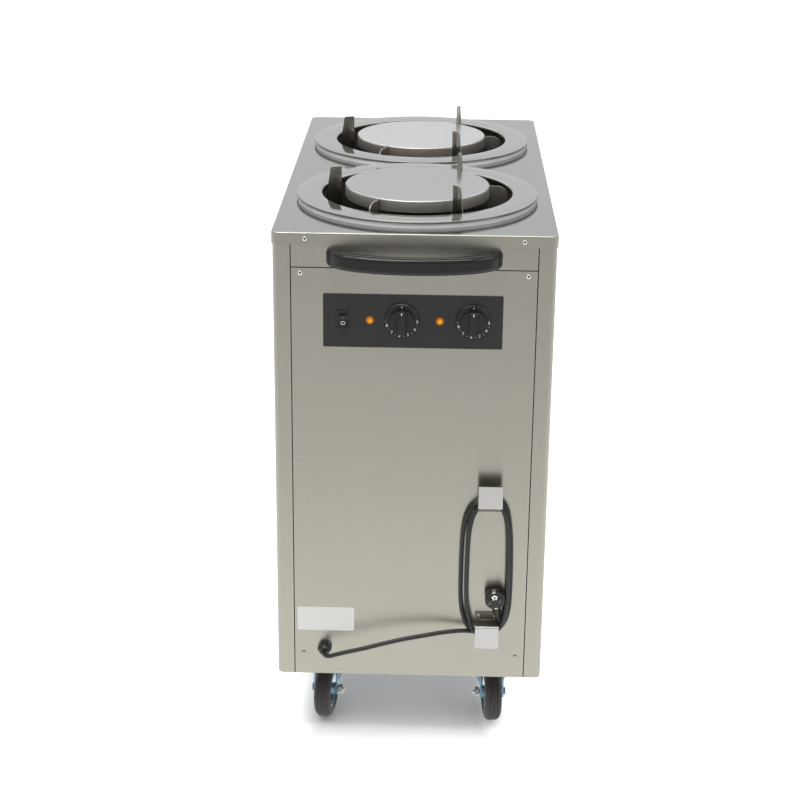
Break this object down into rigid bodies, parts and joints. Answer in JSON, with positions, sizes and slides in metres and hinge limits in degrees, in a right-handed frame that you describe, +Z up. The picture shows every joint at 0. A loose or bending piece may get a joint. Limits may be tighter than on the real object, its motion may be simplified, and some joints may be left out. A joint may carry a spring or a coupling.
{
  "type": "plate warmer cabinet",
  "caption": "Heated plate dispenser: stainless cabinet on swivel castors with spring-lift wells, plate guides, bow handle, control plate and a cord wound on brackets.",
  "frame": {"origin": "on the floor, below the middle of the bounding box", "axes": "+Z up, +X to the right of someone facing the controls, controls and handle face -Y"},
  "size_m": [0.459, 0.95, 0.955],
  "materials": {
    "cabinet_steel": "brushed",
    "deck_steel": "brushed",
    "tube_steel": "satin",
    "galvanised_steel": "matte",
    "spring_steel": "satin",
    "heater_sheath": "matte",
    "amber_lens": "glossy",
    "black_plastic": "satin",
    "handle_plastic": "glossy",
    "zinc_plated": "satin",
    "control_plate_paint": "satin",
    "terminal_plastic": "matte",
    "cord_rubber": "satin",
    "screw_steel": "polished",
    "tyre_rubber": "matte"
  },
  "bodies": {
    "cabinet": {"left_side_panel": "cabinet_steel", "right_side_panel": "cabinet_steel", "deck": "deck_steel", "front_upper_panel": "cabinet_steel", "front_lower_panel": "cabinet_steel", "rear_panel": "cabinet_steel", "base_pan": "galvanised_steel", "front_well_tube": "tube_steel", "front_collar": "deck_steel", "front_lift_spring": "spring_steel", "front_guide_brackets": "tube_steel", "front_heater": "heater_sheath", "front_lamp": "amber_lens", "front_thermostat": "zinc_plated", "rear_well_tube": "tube_steel", "rear_collar": "deck_steel", "rear_lift_spring": "spring_steel", "rear_guide_brackets": "tube_steel", "rear_heater": "heater_sheath", "rear_lamp": "amber_lens", "rear_thermostat": "zinc_plated", "control_plate": "control_plate_paint", "switch_housing": "black_plastic", "terminal_block": "terminal_plastic", "cord_gland": "black_plastic", "power_cord": "cord_rubber", "cord_hank": "cord_rubber", "plug": "cord_rubber", "upper_cord_bracket": "cabinet_steel", "lower_cord_bracket": "cabinet_steel", "handle": "handle_plastic", "screws": "screw_steel", "castor_plates": "zinc_plated"},
    "front_lift": {"front_platform": "deck_steel", "front_carriage": "tube_steel"},
    "front_guide_left_blade": {"front_guide_left": "deck_steel"},
    "front_guide_near_blade": {"front_guide_near": "deck_steel"},
    "front_guide_far_blade": {"front_guide_far": "deck_steel"},
    "rear_lift": {"rear_platform": "deck_steel", "rear_carriage": "tube_steel"},
    "rear_guide_left_blade": {"rear_guide_left": "deck_steel"},
    "rear_guide_near_blade": {"rear_guide_near": "deck_steel"},
    "rear_guide_far_blade": {"rear_guide_far": "deck_steel"},
    "front_dial": {"front_knob": "black_plastic"},
    "rear_dial": {"rear_knob": "black_plastic"},
    "rocker": {"power_rocker": "black_plastic"},
    "front_left_swivel": {"front_left_fork": "zinc_plated"},
    "front_left_wheel": {"front_left_rim": "zinc_plated", "front_left_tyre": "tyre_rubber"},
    "front_right_swivel": {"front_right_fork": "zinc_plated"},
    "front_right_wheel": {"front_right_rim": "zinc_plated", "front_right_tyre": "tyre_rubber"},
    "rear_left_swivel": {"rear_left_fork": "zinc_plated"},
    "rear_left_wheel": {"rear_left_rim": "zinc_plated", "rear_left_tyre": "tyre_rubber"},
    "rear_right_swivel": {"rear_right_fork": "zinc_plated"},
    "rear_right_wheel": {"rear_right_rim": "zinc_plated", "rear_right_tyre": "tyre_rubber"}
  },
  "joints": [
    {"name": "front_lift_slide", "type": "slide", "parent": "cabinet", "child": "front_lift", "axis": [0, 0, -1], "range_m": [0, 0.5], "stiffness_N_per_m": 700, "springref_m": -0.05, "deforming": ["front_lift_spring"]},
    {"name": "front_guide_left_pivot", "type": "hinge", "parent": "cabinet", "child": "front_guide_left_blade", "pos_m": [-0.1565, -0.178, 0.866], "axis": [0, 0, 1], "range_deg": [-10, 60]},
    {"name": "front_guide_near_pivot", "type": "hinge", "parent": "cabinet", "child": "front_guide_near_blade", "pos_m": [0.07738, -0.31503, 0.866], "axis": [0, 0, 1], "range_deg": [-10, 60]},
    {"name": "front_guide_far_pivot", "type": "hinge", "parent": "cabinet", "child": "front_guide_far_blade", "pos_m": [0.07912, -0.04397, 0.866], "axis": [0, 0, 1], "range_deg": [-10, 60]},
    {"name": "rear_lift_slide", "type": "slide", "parent": "cabinet", "child": "rear_lift", "axis": [0, 0, -1], "range_m": [0, 0.5], "stiffness_N_per_m": 700, "springref_m": -0.05, "deforming": ["rear_lift_spring"]},
    {"name": "rear_guide_left_pivot", "type": "hinge", "parent": "cabinet", "child": "rear_guide_left_blade", "pos_m": [-0.1565, 0.238, 0.866], "axis": [0, 0, 1], "range_deg": [-10, 60]},
    {"name": "rear_guide_near_pivot", "type": "hinge", "parent": "cabinet", "child": "rear_guide_near_blade", "pos_m": [0.07738, 0.10097, 0.866], "axis": [0, 0, 1], "range_deg": [-10, 60]},
    {"name": "rear_guide_far_pivot", "type": "hinge", "parent": "cabinet", "child": "rear_guide_far_blade", "pos_m": [0.07912, 0.37203, 0.866], "axis": [0, 0, 1], "range_deg": [-10, 60]},
    {"name": "front_thermostat_dial", "type": "hinge", "parent": "cabinet", "child": "front_dial", "pos_m": [-0.0188, -0.4161, 0.7618], "axis": [0, -1, 0], "range_deg": [0, 300]},
    {"name": "rear_thermostat_dial", "type": "hinge", "parent": "cabinet", "child": "rear_dial", "pos_m": [0.0959, -0.4161, 0.7618], "axis": [0, -1, 0], "range_deg": [0, 300]},
    {"name": "power_rocker_tilt", "type": "hinge", "parent": "cabinet", "child": "rocker", "pos_m": [-0.113, -0.4161, 0.7618], "axis": [1, 0, 0], "range_deg": [0, 18]},
    {"name": "front_left_castor_swivel", "type": "hinge", "parent": "cabinet", "child": "front_left_swivel", "pos_m": [-0.142, -0.313, 0.116], "axis": [0, 0, 1], "continuous": true},
    {"name": "front_left_wheel_spin", "type": "hinge", "parent": "front_left_swivel", "child": "front_left_wheel", "pos_m": [-0.14687, -0.34766, 0.05], "axis": [0.9903, -0.1392, 0], "continuous": true},
    {"name": "front_right_castor_swivel", "type": "hinge", "parent": "cabinet", "child": "front_right_swivel", "pos_m": [0.142, -0.313, 0.116], "axis": [0, 0, 1], "continuous": true},
    {"name": "front_right_wheel_spin", "type": "hinge", "parent": "front_right_swivel", "child": "front_right_wheel", "pos_m": [0.14505, -0.34787, 0.05], "axis": [0.9962, 0.0872, 0], "continuous": true},
    {"name": "rear_left_castor_swivel", "type": "hinge", "parent": "cabinet", "child": "rear_left_swivel", "pos_m": [-0.142, 0.371, 0.116], "axis": [0, 0, 1], "continuous": true},
    {"name": "rear_left_wheel_spin", "type": "hinge", "parent": "rear_left_swivel", "child": "rear_left_wheel", "pos_m": [-0.14444, 0.33609, 0.05], "axis": [0.9976, -0.0698, 0], "continuous": true},
    {"name": "rear_right_castor_swivel", "type": "hinge", "parent": "cabinet", "child": "rear_right_swivel", "pos_m": [0.142, 0.371, 0.116], "axis": [0, 0, 1], "continuous": true},
    {"name": "rear_right_wheel_spin", "type": "hinge", "parent": "rear_right_swivel", "child": "rear_right_wheel", "pos_m": [0.14747, 0.33643, 0.05], "axis": [0.9877, 0.1564, 0], "continuous": true}
  ]
}
